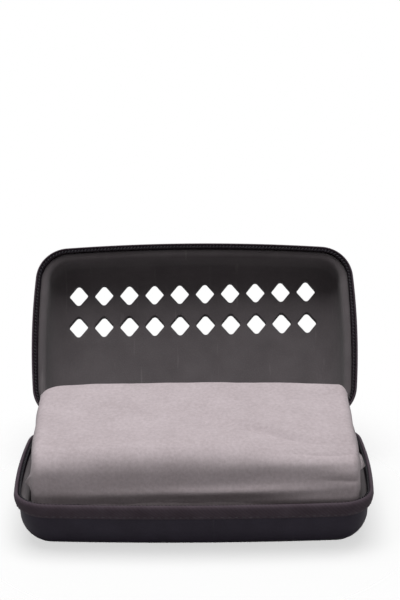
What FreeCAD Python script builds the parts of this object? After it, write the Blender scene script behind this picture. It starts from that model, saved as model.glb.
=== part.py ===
"""Zip-round moulded travel case for a folded microfibre towel, standing open.

Frame: origin at the centre of the base underside, +X along the long side, +Y towards the hinge, +Z up.
Both halves are built rim up, underside on the XY plane. The lid is then turned over onto the hinge.
"""
import FreeCAD, Part
import collections
import math
import os
import Sketcher

doc = FreeCAD.newDocument("towel_case")
sheet = doc.addObject("Spreadsheet::Sheet", "sizes")

SIZES = {
    # Moulded halves in millimetres: bowed outline, rounded edge, foam wall pressed with cover and lining
    "shell_width": 140.8,
    "shell_depth": 80.2,
    "shell_corner_core": 1.0,
    "shell_side_bow": 1.6,
    "shell_long_bow": 2.7,
    "shell_edge_radius": 12.6,
    "shell_wall": 3.6,
    "base_height": 22.0,
    "lid_height": 27.8,
    "rim_drop": 3.8,
    # Zip: tape sewn outside the rim, leaning out to a coil along the mouth of each half
    "tape_thickness": 1.0,
    "tape_reach": 6.6,
    "tape_spread_side": 1.5,
    "tape_spread_long": 0.8,
    "seam_gap": 0.1,
    "mouth_corner_radius": 15.0,
    "mouth_side_bow": 2.85,
    "mouth_long_bow": 3.2,
    "zip_slit": 1.2,
    "coil_height": 1.4,
    "coil_depth": 1.8,
    # Fabric hinge strip in the middle of the back, and how far the lid stands open in degrees
    "hinge_length": 64.0,
    "hinge_slit": 0.3,
    "tape_end_gap": 0.3,
    "open_angle": 126.0,
    # Two rows of punched diamond vents in the lid
    "vent_count": 10,
    "vent_margin": 11.55,
    "vent_bridge": 2.97,
    "vent_height": 9.9,
    "vent_corner_radius": 1.2,
    "vent_row_edge": 14.75,
    "vent_row_pitch": 15.3,
    "vent_shift": -0.85,
    "vent_tilt": 0.82,
    # Zip slider parked against the end of the hinge strip, and its pull
    "slider_length": 8.4,
    "slider_half_width": 2.9,
    "slider_plate": 0.85,
    "slider_clearance": 0.15,
    "slider_travel": 9.0,
    "slider_lip": 0.6,
    "slider_lip_reach": 0.5,
    "slider_corner_radius": 1.4,
    "divider_length": 2.6,
    "divider_width": 0.9,
    "lug_thickness": 0.9,
    "lug_width": 1.9,
    "bar_radius": 0.55,
    "bar_clearance": 0.05,
    "eye_wall": 0.55,
    "eye_width": 3.4,
    "eye_play": 0.25,
    "pull_length": 15.5,
    "pull_thickness": 1.0,
    "pull_end_width": 5.2,
    "pull_hole_radius": 1.1,
    # Folded towel: a soft block that fills the closed case, drawn in and rounded off at both ends
    "towel_side_gap": 1.8,
    "towel_front_gap": 2.3,
    "towel_rear_gap": 2.1,
    "towel_head_gap": 1.6,
    "towel_foot_gap": 0.3,
    "towel_slope": 4.2,
    "towel_front_fold": 11.0,
    "towel_rear_fold": 7.0,
    "towel_foot_fold": 9.0,
    "towel_end_run": 9.0,
    "towel_end_draw": 10.0,
    "towel_end_drop": 7.0,
    "towel_end_lift": 5.6,
    "towel_crown": 0.8,
}
for row, (alias, value) in enumerate(SIZES.items(), start=1):
    sheet.set(f"A{row}", alias)
    sheet.set(f"B{row}", str(value))
    sheet.setAlias(f"B{row}", alias)
doc.recompute()


def number(expression):
    """Value of an expression over the sheet."""
    return float(sheet.evalExpression(expression))


# A bowed outline is four long arcs joined by four corner arcs, each size an expression over the sheet
Outline = collections.namedtuple("Outline", "width depth corner side_bow long_bow")
SHELL = Outline(
    "sizes.shell_width",
    "sizes.shell_depth",
    "(sizes.shell_edge_radius + sizes.shell_corner_core)",
    "sizes.shell_side_bow",
    "sizes.shell_long_bow",
)
SEWN_EDGE = "(sizes.tape_thickness + sizes.seam_gap)"
MOUTH = Outline(
    f"(sizes.shell_width + 2 * {SEWN_EDGE} + 2 * sizes.tape_spread_side)",
    f"(sizes.shell_depth + 2 * {SEWN_EDGE} + 2 * sizes.tape_spread_long)",
    "sizes.mouth_corner_radius",
    "sizes.mouth_side_bow",
    "sizes.mouth_long_bow",
)
HINGE_Y = f"({MOUTH.depth} / 2)"


def arc_radius(chord, bow):
    """Radius of an arc that rises by bow over a chord."""
    return f"((({chord}) / 2)^2 + {bow}^2) / (2 * {bow})"


def new_body(name):
    return doc.addObject("PartDesign::Body", name)


def new_sketch(body, name, role, offset="0"):
    """Sketch on one of the body's own origin planes, moved along its normal."""
    plane = next(item for item in body.Origin.OriginFeatures if item.Role == role)
    sketch = body.newObject("Sketcher::SketchObject", name)
    sketch.AttachmentSupport = (plane, [""])
    sketch.MapMode = "FlatFace"
    sketch.setExpression("AttachmentOffset.Base.z", offset)
    return sketch


def dimension(sketch, name, expression, kind, *where):
    """Named driving constraint bound to an expression."""
    index = sketch.addConstraint(Sketcher.Constraint(kind, *where, number(expression)))
    sketch.renameConstraint(index, name)
    sketch.setExpression(f"Constraints.{name}", expression)


def place(sketch, name, geometry, point, along, up):
    """Pin a point of the sketch by its two distances from the sketch origin."""
    dimension(sketch, f"{name}_along", along, "DistanceX", -1, 1, geometry, point)
    dimension(sketch, f"{name}_up", up, "DistanceY", -1, 1, geometry, point)


def arc(centre, radius, start, end):
    circle = Part.Circle(FreeCAD.Vector(*centre, 0), FreeCAD.Vector(0, 0, 1), radius)
    return Part.ArcOfCircle(circle, start, end)


def segment(start, end):
    return Part.LineSegment(FreeCAD.Vector(*start, 0), FreeCAD.Vector(*end, 0))


def close_smoothly(sketch, first, count):
    """Join a ring of curves end to start, tangent at every joint."""
    for step in range(count):
        here = first + step
        there = first + (step + 1) % count
        sketch.addConstraint(Sketcher.Constraint("Tangent", here, 2, there, 1))


def outline_sketch(body, name, height, outline, inset):
    """Bowed outline at a height, drawn inset from the nominal one all round."""
    sketch = new_sketch(body, name, "XY_Plane", height)
    side_radius = arc_radius(outline.depth, outline.side_bow)
    long_radius = arc_radius(outline.width, outline.long_bow)
    side_centre = f"{side_radius} - {outline.width} / 2"
    long_centre = f"{long_radius} - {outline.depth} / 2"
    shrink = number(inset)
    corner = number(outline.corner) - shrink
    side = number(side_radius) - shrink
    long = number(long_radius) - shrink
    across = number(side_centre)
    along = number(long_centre)
    # The corner centre lies at a known distance from both long arcs' centres
    to_side = side - corner
    to_long = long - corner
    tilt = across / along
    rise = (to_long**2 - to_side**2 + across**2 - along**2) / (2 * along)
    lead = across - rise * tilt
    spare = lead**2 + (1 + tilt**2) * (to_side**2 - across**2 - rise**2)
    corner_x = (math.sqrt(spare) - lead) / (1 + tilt**2)
    corner_y = rise + tilt * corner_x
    leave = math.atan2(corner_y, corner_x + across)
    arrive = math.atan2(corner_y + along, corner_x)
    turn = math.pi
    ring = [
        arc((-across, 0), side, -leave, leave),
        arc((corner_x, corner_y), corner, leave, arrive),
        arc((0, -along), long, arrive, turn - arrive),
        arc((-corner_x, corner_y), corner, turn - arrive, turn - leave),
        arc((across, 0), side, turn - leave, turn + leave),
        arc((-corner_x, -corner_y), corner, turn + leave, turn + arrive),
        arc((0, along), long, turn + arrive, 2 * turn - arrive),
        arc((corner_x, -corner_y), corner, 2 * turn - arrive, 2 * turn - leave),
    ]
    right, rear, left, front = 0, 2, 4, 6
    sketch.addGeometry(ring, False)
    close_smoothly(sketch, 0, len(ring))
    for same in ((right, left), (rear, front), (1, 3), (1, 5), (1, 7)):
        sketch.addConstraint(Sketcher.Constraint("Equal", *same))
    for geometry, axis in ((right, -1), (left, -1), (rear, -2), (front, -2)):
        sketch.addConstraint(Sketcher.Constraint("PointOnObject", geometry, 3, axis))
    dimension(sketch, "side_radius", f"{side_radius} - ({inset})", "Radius", right)
    dimension(sketch, "long_radius", f"{long_radius} - ({inset})", "Radius", rear)
    dimension(sketch, "corner_radius", f"{outline.corner} - ({inset})", "Radius", 1)
    dimension(sketch, "right_centre", side_centre, "DistanceX", right, 3, -1, 1)
    dimension(sketch, "left_centre", side_centre, "DistanceX", -1, 1, left, 3)
    dimension(sketch, "rear_centre", long_centre, "DistanceY", rear, 3, -1, 1)
    dimension(sketch, "front_centre", long_centre, "DistanceY", -1, 1, front, 3)
    return sketch


def pad(body, name, sketch, length, midplane=False):
    feature = body.newObject("PartDesign::Pad", name)
    feature.Profile = sketch
    feature.setExpression("Length", length)
    feature.Midplane = midplane
    doc.recompute()
    return feature


def ruled_loft(body, kind, name, sketches):
    """Straight-ruled loft through a stack of sections."""
    loft = body.newObject(kind, name)
    loft.Profile = sketches[0]
    loft.Sections = sketches[1:]
    loft.Ruled = True
    doc.recompute()


# Places round the moulded bottom edge, from the flat of the floor to the upright wall
EDGE_TURNS = ("0 deg", "15 deg", "30 deg", "45 deg", "60 deg", "75 deg", "90 deg")


def moulded_tray(name, rim):
    """Open tray built rim up: concentric outlines stacked round the bottom edge and on to the rim."""
    body = new_body(name)
    skins = (
        ("PartDesign::AdditiveLoft", "outer", "0"),
        ("PartDesign::SubtractiveLoft", "inner", "sizes.shell_wall"),
    )
    for kind, skin, depth in skins:
        edge = f"(sizes.shell_edge_radius - {depth})"
        levels = [
            (f"{depth} + {edge} * (1 - cos({turn}))", f"{depth} + {edge} * (1 - sin({turn}))")
            for turn in EDGE_TURNS
        ]
        levels.append((rim, depth))
        sketches = [
            outline_sketch(body, f"{name}_{skin}_{index}", height, SHELL, inset)
            for index, (height, inset) in enumerate(levels)
        ]
        ruled_loft(body, kind, f"{name}_{skin}", sketches)
    return body


VENT_PITCH = "((sizes.shell_width - 2 * sizes.vent_margin) / sizes.vent_count)"
VENT_FAR = "(sizes.shell_depth / 2 - sizes.vent_row_edge)"
VENT_NEAR = f"({VENT_FAR} - sizes.vent_row_pitch)"


def vent_rows(body):
    """Two rows of rounded diamonds punched through the crown of a tray."""
    name = body.Name
    sketch = new_sketch(body, f"{name}_vents", "XY_Plane")
    sketch.setExpression("AttachmentOffset.Rotation.Angle", "sizes.vent_tilt")
    radius = number("sizes.vent_corner_radius")
    first_x = f"sizes.vent_shift - {VENT_PITCH} * (sizes.vent_count - 1) / 2"
    reach_x = f"({VENT_PITCH} - sizes.vent_bridge) / 2 - sizes.vent_corner_radius"
    reach_y = "sizes.vent_height / 2 - sizes.vent_corner_radius"
    for row_name, row_y in (("near", VENT_NEAR), ("far", VENT_FAR)):
        first = sketch.GeometryCount
        x, y = number(first_x), number(row_y)
        a, b = number(reach_x), number(reach_y)
        slope = math.atan2(a, b)
        out_x, out_y = radius * math.cos(slope), radius * math.sin(slope)
        ring = [
            arc((x + a, y), radius, -slope, slope),
            segment((x + a + out_x, y + out_y), (x + out_x, y + b + out_y)),
            arc((x, y + b), radius, slope, math.pi - slope),
            segment((x - out_x, y + b + out_y), (x - a - out_x, y + out_y)),
            arc((x - a, y), radius, math.pi - slope, math.pi + slope),
            segment((x - a - out_x, y - out_y), (x - out_x, y - b - out_y)),
            arc((x, y - b), radius, math.pi + slope, 2 * math.pi - slope),
            segment((x + out_x, y - b - out_y), (x + a + out_x, y - out_y)),
        ]
        sketch.addGeometry(ring, False)
        close_smoothly(sketch, first, len(ring))
        corners = {
            "right": (first, f"{first_x} + {reach_x}", row_y),
            "top": (first + 2, first_x, f"{row_y} + {reach_y}"),
            "left": (first + 4, f"{first_x} - ({reach_x})", row_y),
            "bottom": (first + 6, first_x, f"{row_y} - ({reach_y})"),
        }
        for side, (geometry, along, up) in corners.items():
            place(sketch, f"{row_name}_{side}", geometry, 3, along, up)
            dimension(sketch, f"{row_name}_{side}_radius", "sizes.vent_corner_radius", "Radius", geometry)
    doc.recompute()
    punch = body.newObject("PartDesign::Pocket", f"{name}_punch")
    punch.Profile = sketch
    punch.Reversed = True
    punch.setExpression("Length", "2 * sizes.shell_wall")
    doc.recompute()
    pattern = body.newObject("PartDesign::LinearPattern", f"{name}_vent_pattern")
    pattern.Originals = [punch]
    pattern.Direction = (sketch, ["H_Axis"])
    pattern.setExpression("Length", f"{VENT_PITCH} * (sizes.vent_count - 1)")
    pattern.setExpression("Occurrences", "sizes.vent_count")
    body.Tip = pattern
    doc.recompute()


def leaning_ring(name, low, high, thickness):
    """Ring sewn round the shell at its low edge and leaning out to the mouth at its high edge."""
    body = new_body(name)
    seam = "-sizes.seam_gap"
    skins = (
        ("PartDesign::AdditiveLoft", "outer", f"{seam} - {thickness}", "0"),
        ("PartDesign::SubtractiveLoft", "inner", seam, thickness),
    )
    for kind, skin, low_inset, high_inset in skins:
        bottom = outline_sketch(body, f"{name}_{skin}_low", low, SHELL, low_inset)
        top = outline_sketch(body, f"{name}_{skin}_high", high, MOUTH, high_inset)
        ruled_loft(body, kind, f"{name}_{skin}", [bottom, top])
    return body


def coil_ring(name, low):
    """Plain bead of the zip coil round the whole mouth."""
    body = new_body(name)
    outer = outline_sketch(body, f"{name}_outer", low, MOUTH, "0")
    pad(body, f"{name}_bead", outer, "sizes.coil_height")
    inner = outline_sketch(body, f"{name}_inner", low, MOUTH, "sizes.coil_depth")
    bore = body.newObject("PartDesign::Pocket", f"{name}_bore")
    bore.Profile = inner
    bore.Reversed = True
    bore.setExpression("Length", "sizes.coil_height")
    doc.recompute()
    return body


def back_box(name, start, end, hinge_side):
    """Box over the back of a ring between two places along X; hinge_side is +1 or -1 in Y."""
    box = doc.addObject("Part::Box", name)
    box.setExpression("Length", f"({end}) - ({start})")
    box.setExpression("Width", MOUTH.depth)
    box.setExpression("Height", "sizes.base_height + sizes.lid_height")
    box.setExpression("Placement.Base.x", start)
    if hinge_side < 0:
        box.setExpression("Placement.Base.y", f"-{MOUTH.depth}")
    return box


def boolean(kind, label, base, tool):
    result = doc.addObject(kind, label)
    result.Base = base
    result.Tool = tool
    doc.recompute()
    return result


def case_half(prefix, height, hinge_side, tape_stop):
    """One half of the case: shell, zip tape, zip coil and its leaf of the hinge strip."""
    rim = f"({height} - sizes.rim_drop)"
    shell = moulded_tray(f"{prefix}_shell", rim)
    coil_top = f"({height} - sizes.zip_slit / 2)"
    coil_foot = f"({coil_top} - sizes.coil_height)"
    tape_foot = f"({height} - sizes.tape_reach)"
    tape = leaning_ring(f"{prefix}_tape_ring", tape_foot, coil_foot, "sizes.tape_thickness")
    coil = coil_ring(f"{prefix}_coil_ring", coil_foot)
    strip_top = f"({height} - sizes.hinge_slit / 2)"
    strip = leaning_ring(f"{prefix}_strip_ring", tape_foot, strip_top, "sizes.tape_thickness")
    tape_start = "-(sizes.hinge_length / 2 + sizes.tape_end_gap)"
    gap = back_box(f"{prefix}_zip_gap", tape_start, tape_stop, hinge_side)
    strip_end = "sizes.hinge_length / 2"
    middle = back_box(f"{prefix}_hinge_reach", f"-{strip_end}", strip_end, hinge_side)
    return {
        f"{prefix}_shell": shell,
        f"{prefix}_zip_tape": boolean("Part::Cut", f"{prefix}_zip_tape", tape, gap),
        f"{prefix}_zip_coil": boolean("Part::Cut", f"{prefix}_zip_coil", coil, gap),
        f"{prefix}_hinge_strip": boolean("Part::Common", f"{prefix}_hinge_strip", strip, middle),
    }


def rectangle(sketch, name, low, high):
    """Rectangle between two corners, each a pair of expressions."""
    first = sketch.GeometryCount
    left, bottom = number(low[0]), number(low[1])
    right, top = number(high[0]), number(high[1])
    corners = [(left, bottom), (right, bottom), (right, top), (left, top)]
    sketch.addGeometry([segment(corners[side], corners[(side + 1) % 4]) for side in range(4)], False)
    for side in range(4):
        joint = ("Coincident", first + side, 2, first + (side + 1) % 4, 1)
        sketch.addConstraint(Sketcher.Constraint(*joint))
    for side, kind in enumerate(("Horizontal", "Vertical", "Horizontal", "Vertical")):
        sketch.addConstraint(Sketcher.Constraint(kind, first + side))
    place(sketch, f"{name}_low", first, 1, *low)
    place(sketch, f"{name}_high", first + 2, 1, *high)


# Slider frame: origin on the coil's outer face at the parting plane, +X along the zip, +Y outwards
PLATE_IN = "sizes.slider_clearance"
PLATE_OUT = f"({PLATE_IN} + sizes.slider_plate)"
WING_OUT = "(-sizes.coil_depth - sizes.slider_clearance)"
WING_IN = f"({WING_OUT} - sizes.slider_plate)"
EYE_RADIUS = "(sizes.bar_radius + sizes.bar_clearance + sizes.eye_wall)"
BAR_OUT = f"({PLATE_OUT} + {EYE_RADIUS} + sizes.eye_play)"
LUG_START = "(sizes.eye_width / 2 + sizes.eye_play)"


def zip_slider():
    """Two plates joined by the divider post, lips along the inner plate, lugs and a bar for the pull."""
    body = new_body("zip_slider")
    half = "sizes.slider_half_width"
    post = new_sketch(body, "divider_outline", "YZ_Plane", "sizes.slider_length / 2 - sizes.divider_length")
    rectangle(post, "post", (WING_IN, "-sizes.divider_width / 2"), (PLATE_OUT, "sizes.divider_width / 2"))
    pad(body, "divider", post, "sizes.divider_length")
    plates = new_sketch(body, "plate_outline", "YZ_Plane")
    rectangle(plates, "outer", (PLATE_IN, f"-{half}"), (PLATE_OUT, half))
    rectangle(plates, "inner", (WING_IN, f"-{half}"), (WING_OUT, half))
    plate_pair = pad(body, "plates", plates, "sizes.slider_length", midplane=True)
    reach = number("sizes.slider_length / 2")
    width = number(half)
    corners = [
        f"Edge{index}"
        for index, edge in enumerate(plate_pair.Shape.Edges, start=1)
        if edge.BoundBox.XLength + edge.BoundBox.ZLength < 1e-6
        and abs(abs(edge.CenterOfMass.x) - reach) < 1e-6
        and abs(abs(edge.CenterOfMass.z) - width) < 1e-6
    ]
    rounding = body.newObject("PartDesign::Fillet", "slider_rounding")
    rounding.Base = (plate_pair, corners)
    rounding.setExpression("Radius", "sizes.slider_corner_radius")
    doc.recompute()
    lips = new_sketch(body, "lip_outline", "YZ_Plane")
    lip_out = f"({WING_OUT} + sizes.slider_lip_reach)"
    rectangle(lips, "upper", (WING_OUT, f"{half} - sizes.slider_lip"), (lip_out, half))
    rectangle(lips, "lower", (WING_OUT, f"-{half}"), (lip_out, f"sizes.slider_lip - {half}"))
    pad(body, "lips", lips, "sizes.slider_length - 2 * sizes.slider_corner_radius", midplane=True)
    lug_top = f"({BAR_OUT} + sizes.bar_radius + sizes.bar_clearance)"
    for side, start in (("far", LUG_START), ("near", f"-{LUG_START} - sizes.lug_thickness")):
        lug = new_sketch(body, f"{side}_lug_outline", "YZ_Plane", start)
        rectangle(lug, "lug", (PLATE_OUT, "-sizes.lug_width / 2"), (lug_top, "sizes.lug_width / 2"))
        pad(body, f"{side}_lug", lug, "sizes.lug_thickness")
    bar = new_sketch(body, "bar_outline", "YZ_Plane")
    centre = FreeCAD.Vector(number(BAR_OUT), 0, 0)
    bar.addGeometry(Part.Circle(centre, FreeCAD.Vector(0, 0, 1), number("sizes.bar_radius")), False)
    bar.addConstraint(Sketcher.Constraint("PointOnObject", 0, 3, -1))
    dimension(bar, "bar_out", BAR_OUT, "DistanceX", -1, 1, 0, 3)
    dimension(bar, "bar_radius", "sizes.bar_radius", "Radius", 0)
    pad(body, "bar", bar, f"2 * {LUG_START} + sizes.lug_thickness", midplane=True)
    return body


def pull_tab():
    """Flat tab that widens to a round end with a hole, hung from the slider's bar by an eye."""
    body = new_body("pull_tab")
    eye = new_sketch(body, "eye_outline", "YZ_Plane")
    origin = FreeCAD.Vector(0, 0, 0)
    eye.addGeometry(Part.Circle(origin, FreeCAD.Vector(0, 0, 1), number(EYE_RADIUS)), False)
    eye.addConstraint(Sketcher.Constraint("Coincident", 0, 3, -1, 1))
    dimension(eye, "eye_radius", EYE_RADIUS, "Radius", 0)
    pad(body, "eye", eye, "sizes.eye_width", midplane=True)
    tab = new_sketch(body, "tab_outline", "XZ_Plane")
    neck = number("sizes.eye_width / 2")
    end = number("sizes.pull_end_width / 2")
    drop = number("sizes.pull_length - sizes.pull_end_width / 2")
    hole = number("sizes.pull_hole_radius")
    tab.addGeometry(
        [
            segment((-neck, 0), (-end, -drop)),
            arc((0, -drop), end, math.pi, 2 * math.pi),
            segment((end, -drop), (neck, 0)),
            segment((neck, 0), (-neck, 0)),
            Part.Circle(FreeCAD.Vector(0, -drop, 0), FreeCAD.Vector(0, 0, 1), hole),
        ],
        False,
    )
    for here, there in ((0, 1), (1, 2), (2, 3), (3, 0)):
        tab.addConstraint(Sketcher.Constraint("Coincident", here, 2, there, 1))
    tab.addConstraint(Sketcher.Constraint("PointOnObject", 1, 3, -2))
    tab.addConstraint(Sketcher.Constraint("Coincident", 4, 3, 1, 3))
    tab.addConstraint(Sketcher.Constraint("Horizontal", 1, 1, 1, 3))
    tab.addConstraint(Sketcher.Constraint("Horizontal", 1, 2, 1, 3))
    tab.addConstraint(Sketcher.Constraint("PointOnObject", 2, 2, -1))
    tab.addConstraint(Sketcher.Constraint("Symmetric", 0, 1, 2, 2, -2))
    dimension(tab, "neck_width", "sizes.eye_width", "DistanceX", 0, 1, 2, 2)
    dimension(tab, "end_radius", "sizes.pull_end_width / 2", "Radius", 1)
    dimension(tab, "hole_radius", "sizes.pull_hole_radius", "Radius", 4)
    dimension(tab, "drop", "sizes.pull_length - sizes.pull_end_width / 2", "DistanceY", 1, 3, -1, 1)
    pad(body, "tab", tab, "sizes.pull_thickness", midplane=True)
    bore = new_sketch(body, "eye_bore_outline", "YZ_Plane")
    bore_radius = "sizes.bar_radius + sizes.bar_clearance"
    bore.addGeometry(Part.Circle(origin, FreeCAD.Vector(0, 0, 1), number(bore_radius)), False)
    bore.addConstraint(Sketcher.Constraint("Coincident", 0, 3, -1, 1))
    dimension(bore, "bore_radius", bore_radius, "Radius", 0)
    drill = body.newObject("PartDesign::Pocket", "eye_bore")
    drill.Profile = bore
    drill.setExpression("Length", "sizes.pull_end_width")
    drill.Midplane = True
    doc.recompute()
    return body


# Places round each end of the towel where its rounded-off form gets a cross section
TOWEL_END_TURNS = ("0 deg", "35 deg", "65 deg", "90 deg")
# Room inside the shut case, which sets the towel's size
ROOM_LENGTH = "(sizes.shell_width / 2 - sizes.shell_wall)"
ROOM_DEPTH = "(sizes.shell_depth / 2 - sizes.shell_wall)"
TOWEL_TOP = "(sizes.base_height + sizes.lid_height - sizes.shell_wall - sizes.towel_head_gap)"


def towel_section(body, name, along, draw, drop, lift):
    """Cross section of the towel: flat foot, round folds, top sloping down to the front fold."""
    sketch = new_sketch(body, name, "YZ_Plane", along)
    front = f"({draw} + sizes.towel_front_gap - {ROOM_DEPTH})"
    rear = f"({ROOM_DEPTH} - sizes.towel_rear_gap - ({draw}))"
    foot = f"(sizes.shell_wall + sizes.towel_foot_gap + {lift})"
    foot_fold = "sizes.towel_foot_fold"
    front_up = f"({TOWEL_TOP} - sizes.towel_slope - {drop} - sizes.towel_front_fold)"
    rear_up = f"({TOWEL_TOP} - {drop} - sizes.towel_rear_fold)"
    y0, y1, z0 = number(front), number(rear), number(foot)
    r0, r1, r2 = number(foot_fold), number("sizes.towel_rear_fold"), number("sizes.towel_front_fold")
    rear_centre = (y1 - r1, number(rear_up))
    front_centre = (y0 + r2, number(front_up))
    run = rear_centre[0] - front_centre[0]
    climb = rear_centre[1] - front_centre[1]
    # Direction square to the top line, which touches both fold arcs
    lean = math.atan2(climb, run) + math.acos((r1 - r2) / math.hypot(run, climb))
    square = (math.cos(lean), math.sin(lean))
    ring = [
        segment((y0 + r0, z0), (y1 - r0, z0)),
        arc((y1 - r0, z0 + r0), r0, 1.5 * math.pi, 2 * math.pi),
        segment((y1, z0 + r0), (y1, rear_centre[1])),
        arc(rear_centre, r1, 0, lean),
        segment(
            (rear_centre[0] + r1 * square[0], rear_centre[1] + r1 * square[1]),
            (front_centre[0] + r2 * square[0], front_centre[1] + r2 * square[1]),
        ),
        arc(front_centre, r2, lean, math.pi),
        segment((y0, front_centre[1]), (y0, z0 + r0)),
        arc((y0 + r0, z0 + r0), r0, math.pi, 1.5 * math.pi),
    ]
    sketch.addGeometry(ring, False)
    close_smoothly(sketch, 0, len(ring))
    for side, kind in ((0, "Horizontal"), (2, "Vertical"), (6, "Vertical")):
        sketch.addConstraint(Sketcher.Constraint(kind, side))
    place(sketch, "foot_rear", 1, 3, f"{rear} - {foot_fold}", f"{foot} + {foot_fold}")
    dimension(sketch, "foot_front", f"{front} + {foot_fold}", "DistanceX", -1, 1, 7, 3)
    dimension(sketch, "rear_up", rear_up, "DistanceY", -1, 1, 3, 3)
    dimension(sketch, "front_up", front_up, "DistanceY", -1, 1, 5, 3)
    dimension(sketch, "rear_foot_fold", foot_fold, "Radius", 1)
    dimension(sketch, "front_foot_fold", foot_fold, "Radius", 7)
    dimension(sketch, "rear_fold", "sizes.towel_rear_fold", "Radius", 3)
    dimension(sketch, "front_fold", "sizes.towel_front_fold", "Radius", 5)
    return sketch


def folded_towel():
    """Ruled loft from end to end: full across the middle, rounded off over a quarter turn at both ends."""
    body = new_body("folded_towel")
    shoulder = f"({ROOM_LENGTH} - sizes.towel_side_gap - sizes.towel_end_run)"
    sections = []
    for side in (-1, 1):
        for turn in TOWEL_END_TURNS:
            along = f"{side} * ({shoulder} + sizes.towel_end_run * sin({turn}))"
            round_off = f"(1 - cos({turn}))"
            draw = f"sizes.towel_end_draw * {round_off}"
            drop = f"(sizes.towel_crown + sizes.towel_end_drop * {round_off})"
            lift = f"sizes.towel_end_lift * {round_off}"
            sections.append((side, along, draw, drop, lift))
    half = len(TOWEL_END_TURNS)
    ordered = sections[:half][::-1] + [(0, "0", "0", "0", "0")] + sections[half:]
    sketches = [
        towel_section(body, f"towel_section_{index}", *section[1:])
        for index, section in enumerate(ordered)
    ]
    ruled_loft(body, "PartDesign::AdditiveLoft", "towel_block", sketches)
    return body


SLIDER_X = "(sizes.hinge_length / 2 + sizes.tape_end_gap + sizes.slider_length / 2)"
SLIDER_STOP = f"({SLIDER_X} + sizes.slider_length / 2 + sizes.slider_travel + sizes.tape_end_gap)"
nodes = case_half("base", "sizes.base_height", 1, "sizes.hinge_length / 2 + sizes.tape_end_gap")
lid_nodes = case_half("lid", "sizes.lid_height", -1, SLIDER_STOP)
vent_rows(lid_nodes["lid_shell"])

# The lid turns over about the hinge line, which lies on the outer face of the strip at the parting plane
x_axis = FreeCAD.Vector(1, 0, 0)
z_axis = FreeCAD.Vector(0, 0, 1)
hinge = FreeCAD.Vector(0, number(HINGE_Y), number("sizes.base_height"))
lid_hinge = FreeCAD.Vector(0, -number(HINGE_Y), number("sizes.lid_height"))
opening = FreeCAD.Placement(hinge, FreeCAD.Rotation(x_axis, 180 - number("sizes.open_angle")))
lid_place = opening * FreeCAD.Placement(-lid_hinge, FreeCAD.Rotation())
for lid_node in lid_nodes.values():
    lid_node.Placement = lid_place
nodes.update(lid_nodes)

# The slider stands on the bowed back of the mouth, square to it
back_radius = number(arc_radius(MOUTH.width, MOUTH.long_bow))
slider_turn = math.asin(number(SLIDER_X) / back_radius)
slider_y = number(HINGE_Y) - back_radius * (1 - math.cos(slider_turn))
slider_spot = FreeCAD.Vector(number(SLIDER_X), slider_y, number("sizes.base_height"))
slider_place = FreeCAD.Placement(slider_spot, FreeCAD.Rotation(z_axis, -math.degrees(slider_turn)))
nodes["zip_slider"] = zip_slider()
nodes["zip_slider"].Placement = slider_place
nodes["pull_tab"] = pull_tab()
bar_spot = FreeCAD.Vector(0, number(BAR_OUT), 0)
nodes["pull_tab"].Placement = slider_place * FreeCAD.Placement(bar_spot, FreeCAD.Rotation())
nodes["folded_towel"] = folded_towel()
doc.recompute()

for item in doc.Objects:
    if "Invalid" in item.State or "Error" in item.State:
        raise RuntimeError(f"{item.Name} failed: {item.State}")
os.makedirs("parts", exist_ok=True)
for name, node in nodes.items():
    node.Label = name
    if node.Shape.isNull() or not node.Shape.isValid() or not node.Shape.Solids:
        raise RuntimeError(f"{name} has no valid solid")
    node.Shape.exportStep(f"parts/{name}.step")
    box = node.Shape.BoundBox
    corners = (box.XMin, box.XMax, box.YMin, box.YMax, box.ZMin, box.ZMax)
    print(name, len(node.Shape.Solids), round(node.Shape.Volume, 1), [round(value, 2) for value in corners])
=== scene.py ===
"""Moulded travel case, zipped round its mouth and standing open, with a folded towel in its base."""
import math

import bmesh
import bpy
import numpy as np
from mathutils import Matrix, Vector, noise
from mathutils.geometry import delaunay_2d_cdt


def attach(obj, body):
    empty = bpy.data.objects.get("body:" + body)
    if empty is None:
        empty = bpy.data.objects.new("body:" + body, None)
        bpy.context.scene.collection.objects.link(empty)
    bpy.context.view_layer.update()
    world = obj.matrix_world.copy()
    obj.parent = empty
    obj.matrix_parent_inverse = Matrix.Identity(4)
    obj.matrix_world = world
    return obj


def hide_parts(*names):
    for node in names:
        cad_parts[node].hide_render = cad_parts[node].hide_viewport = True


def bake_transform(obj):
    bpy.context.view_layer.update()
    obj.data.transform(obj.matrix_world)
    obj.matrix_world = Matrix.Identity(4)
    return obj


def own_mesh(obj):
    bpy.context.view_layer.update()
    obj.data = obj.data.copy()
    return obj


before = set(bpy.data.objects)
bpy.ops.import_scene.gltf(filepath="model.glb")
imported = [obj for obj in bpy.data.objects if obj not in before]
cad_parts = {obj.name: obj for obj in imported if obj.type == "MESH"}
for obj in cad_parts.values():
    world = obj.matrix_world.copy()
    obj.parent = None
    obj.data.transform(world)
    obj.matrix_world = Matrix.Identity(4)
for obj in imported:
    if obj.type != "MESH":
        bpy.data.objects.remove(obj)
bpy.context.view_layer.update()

# Base shell
# A shallow tray hot-pressed from foam, with a smooth dark knit bonded to its outside and a brushed grey one
# to its inside. Its walls bow outwards between the corners, and its bottom edge is one large even round.
# Sizes are in mm, here and below, where no comment says metres.
SHELL = dict(width=140.8, depth=80.2, corner=13.6, side_bow=1.6, long_bow=2.7)
SIDE_STEPS, CORNER_STEPS, LONG_STEPS = 30, 16, 56
WALL = 3.6
EDGE_RADIUS = 12.6
BASE_RIM = 18.2
RIM_ROUND = 0.8
INNER_ROUND = WALL - RIM_ROUND
# In metres: points of a mesh that lie closer than this are one
SAME_POINT = 1e-6


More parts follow.
